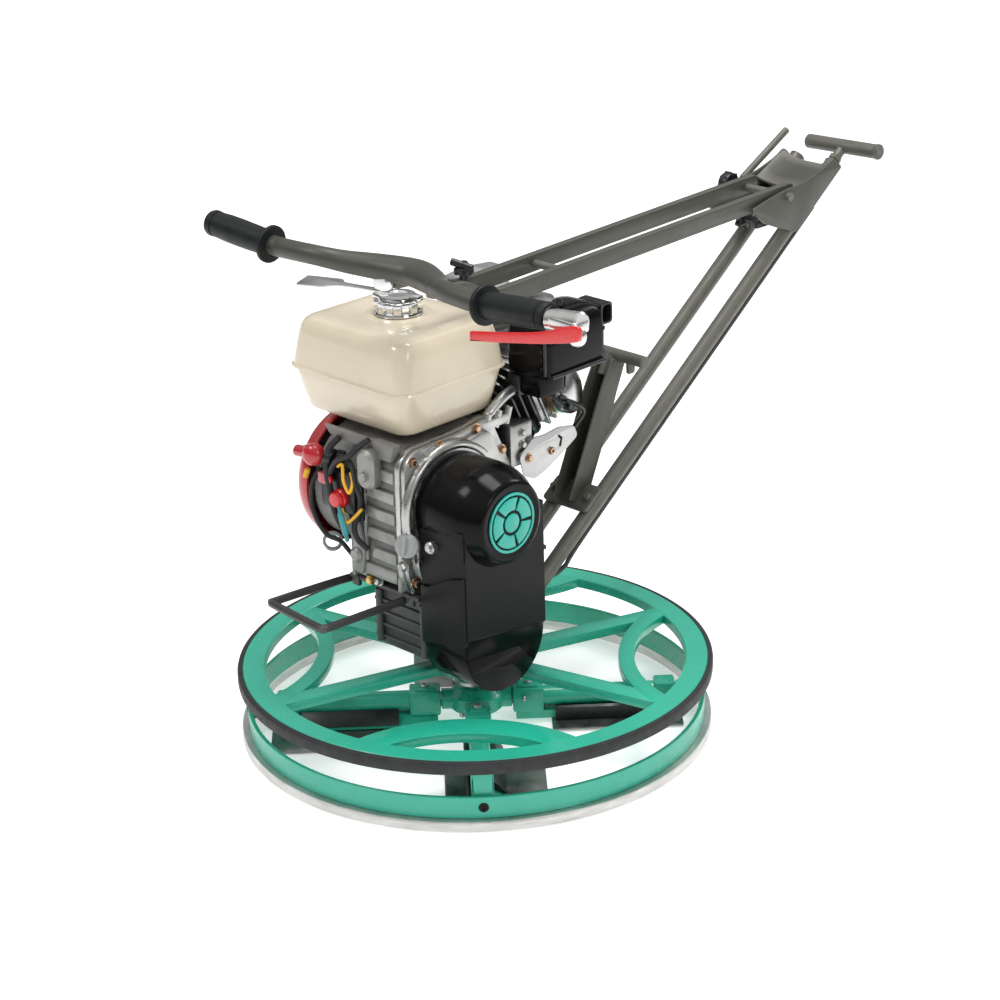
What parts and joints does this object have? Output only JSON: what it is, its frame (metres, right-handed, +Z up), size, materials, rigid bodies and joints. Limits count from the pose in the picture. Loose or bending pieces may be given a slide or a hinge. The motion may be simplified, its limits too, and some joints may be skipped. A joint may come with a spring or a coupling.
{
  "type": "walk-behind power trowel",
  "caption": "Petrol power trowel: turning ring and blades under a round guard, engine with belt drive to a worm gearbox, tubular handle with a fold-over handlebar.",
  "frame": {"origin": "middle of the bounding box, on the floor the ring stands on", "axes": "+Z up, +Y towards the operator who stands behind the handle, +X towards the belt cover"},
  "size_m": [0.664, 1.0105, 0.6575],
  "materials": {
    "teal_paint": "gloss enamel",
    "bare_steel": "machined",
    "brass": "machined",
    "blade_steel": "heat-treated strip",
    "black_rubber": "matt",
    "dark_casting": "dark painted casting",
    "bright_casting": "bare casting",
    "grey_paint": "satin powder coat",
    "black_cover": "gloss",
    "cream_tank": "gloss enamel",
    "bright_sheet": "bright sheet metal",
    "chrome": "polished",
    "red_paint": "gloss enamel",
    "black_plastic": "textured"
  },
  "bodies": {
    "frame": {"bumper": "black_rubber", "guard_ring": "teal_paint", "gearbox_housing": "dark_casting", "gearbox_cover": "bright_casting", "output_bearing": "bare_steel", "bed_plate": "grey_paint", "crankcase": "dark_casting", "crankcase_cover": "bright_casting", "cylinder": "dark_casting", "cylinder_head": "bright_casting", "spark_plug": "black_rubber", "fuel_tank": "cream_tank", "recoil_housing": "red_paint", "air_cleaner": "black_plastic", "muffler": "bright_sheet", "belt_cover": "black_cover", "drive_belt": "black_rubber", "carry_loop": "grey_paint", "lower_tube_left": "grey_paint", "lower_tube_right": "grey_paint", "lifting_post": "grey_paint", "pitch_cable": "black_rubber", "fold_bracket": "grey_paint", "fold_pin": "chrome"},
    "rotor": {"wear_ring": "bare_steel", "lower_ring": "teal_paint", "rotor_spider": "teal_paint", "output_shaft": "bare_steel", "worm_wheel": "brass"},
    "blade_1": {"trowel_blade_1": "blade_steel", "blade_holder_1": "teal_paint"},
    "blade_2": {"trowel_blade_2": "blade_steel", "blade_holder_2": "teal_paint"},
    "blade_3": {"trowel_blade_3": "blade_steel", "blade_holder_3": "teal_paint"},
    "blade_4": {"trowel_blade_4": "blade_steel", "blade_holder_4": "teal_paint"},
    "worm": {"worm_shaft": "bare_steel", "input_pulley": "bare_steel"},
    "crank": {"crankshaft": "bare_steel", "clutch_pulley": "bare_steel", "flywheel": "bright_casting"},
    "pitch_collar": {"pitch_collar": "bare_steel"},
    "pitch_yoke": {"pitch_yoke": "teal_paint"},
    "pitch_handle": {"pitch_handle": "grey_paint"},
    "upper_handle": {"upper_bar_left": "grey_paint", "upper_bar_right": "grey_paint", "handlebar": "grey_paint", "left_grip": "black_rubber", "right_grip": "black_rubber", "lever_clamp": "chrome"},
    "dead_man": {"dead_man_lever": "red_paint"},
    "throttle": {"throttle_lever": "bright_casting"},
    "fuel_cap": {"fuel_cap": "chrome"},
    "starter_reel": {"starter_reel": "black_plastic"},
    "starter_grip": {"starter_grip": "red_paint"},
    "engine_switch": {"engine_switch": "red_paint"},
    "fuel_lever": {"fuel_lever": "red_paint"},
    "fold_knob": {"fold_knob": "black_plastic"},
    "fold_lock": {"fold_lock_lever": "grey_paint"}
  },
  "joints": [
    {"name": "rotor_spin", "type": "hinge", "parent": "frame", "child": "rotor", "pos_m": [-0.03, -0.2033, 0.1], "axis": [0, 0, 1], "continuous": true},
    {"name": "worm_spin", "type": "hinge", "parent": "frame", "child": "worm", "pos_m": [-0.03, -0.2503, 0.155], "axis": [1, 0, 0], "continuous": true},
    {"name": "crank_spin", "type": "hinge", "parent": "frame", "child": "crank", "pos_m": [-0.03, -0.2503, 0.318], "axis": [1, 0, 0], "continuous": true},
    {"name": "blade_1_tilt", "type": "hinge", "parent": "rotor", "child": "blade_1", "pos_m": [-0.03, -0.2033, 0.031], "axis": [-0.7314, 0.682, 0], "range_deg": [0, 12]},
    {"name": "blade_2_tilt", "type": "hinge", "parent": "rotor", "child": "blade_2", "pos_m": [-0.03, -0.2033, 0.031], "axis": [-0.682, -0.7314, 0], "range_deg": [0, 12]},
    {"name": "blade_3_tilt", "type": "hinge", "parent": "rotor", "child": "blade_3", "pos_m": [-0.03, -0.2033, 0.031], "axis": [0.7314, -0.682, 0], "range_deg": [0, 12]},
    {"name": "blade_4_tilt", "type": "hinge", "parent": "rotor", "child": "blade_4", "pos_m": [-0.03, -0.2033, 0.031], "axis": [0.682, 0.7314, 0], "range_deg": [0, 12]},
    {"name": "pitch_collar_slide", "type": "slide", "parent": "frame", "child": "pitch_collar", "axis": [0, 0, 1], "range_m": [-0.0048, 0]},
    {"name": "pitch_yoke_tilt", "type": "hinge", "parent": "frame", "child": "pitch_yoke", "pos_m": [-0.03, -0.1253, 0.071], "axis": [1, 0, 0], "range_deg": [0, 3.5]},
    {"name": "pitch_handle_turn", "type": "hinge", "parent": "frame", "child": "pitch_handle", "pos_m": [0, 0.4687, 0.5998], "axis": [0, 0.805, 0.5933], "range_deg": [0, 1080]},
    {"name": "handle_fold", "type": "hinge", "parent": "frame", "child": "upper_handle", "pos_m": [-0.03, 0.3567, 0.58], "axis": [1, 0, 0], "range_deg": [-142, 0]},
    {"name": "dead_man_squeeze", "type": "hinge", "parent": "upper_handle", "child": "dead_man", "pos_m": [0.315, -0.3748, 0.64], "axis": [0, 1, 0], "range_deg": [0, 9], "stiffness_Nm_per_rad": 1, "springref_deg": -25.78},
    {"name": "throttle_swing", "type": "hinge", "parent": "upper_handle", "child": "throttle", "pos_m": [-0.066, -0.2993, 0.592], "axis": [0, 0, 1], "range_deg": [0, 40]},
    {"name": "fuel_cap_turn", "type": "hinge", "parent": "frame", "child": "fuel_cap", "pos_m": [-0.132, -0.2173, 0.535], "axis": [0, 0, 1], "range_deg": [0, 90]},
    {"name": "starter_reel_spin", "type": "hinge", "parent": "frame", "child": "starter_reel", "pos_m": [-0.2, -0.2503, 0.318], "axis": [1, 0, 0], "range_deg": [0, 716], "stiffness_Nm_per_rad": 0.01, "springref_deg": -114.59},
    {"name": "starter_pull", "type": "slide", "parent": "frame", "child": "starter_grip", "axis": [0, -1, 0], "range_m": [0, 0.45]},
    {"name": "engine_switch_turn", "type": "hinge", "parent": "frame", "child": "engine_switch", "pos_m": [-0.122, -0.3333, 0.322], "axis": [0, 1, 0], "range_deg": [0, 60]},
    {"name": "fuel_lever_swing", "type": "hinge", "parent": "frame", "child": "fuel_lever", "pos_m": [-0.148, -0.3333, 0.3445], "axis": [0, 1, 0], "range_deg": [0, 60]},
    {"name": "fold_knob_turn", "type": "hinge", "parent": "frame", "child": "fold_knob", "pos_m": [-0.082, 0.3567, 0.58], "axis": [1, 0, 0], "range_deg": [0, 720]},
    {"name": "fold_lock_lift", "type": "hinge", "parent": "frame", "child": "fold_lock", "pos_m": [-0.086, 0.3847, 0.583], "axis": [1, 0, 0], "range_deg": [0, 30]}
  ],
  "couplings": [
    {"joint": "worm_spin", "follows": "rotor_spin", "ratio": -20},
    {"joint": "crank_spin", "follows": "rotor_spin", "ratio": -28.191},
    {"joint": "blade_1_tilt", "follows": "pitch_handle_turn", "ratio": 0.0111},
    {"joint": "blade_2_tilt", "follows": "pitch_handle_turn", "ratio": 0.0111},
    {"joint": "blade_3_tilt", "follows": "pitch_handle_turn", "ratio": 0.0111},
    {"joint": "blade_4_tilt", "follows": "pitch_handle_turn", "ratio": 0.0111},
    {"joint": "pitch_collar_slide", "follows": "pitch_handle_turn", "m_per_rad": -0.000254},
    {"joint": "pitch_yoke_tilt", "follows": "pitch_handle_turn", "ratio": 0.00324},
    {"joint": "starter_pull", "follows": "starter_reel_spin", "m_per_rad": 0.036}
  ]
}
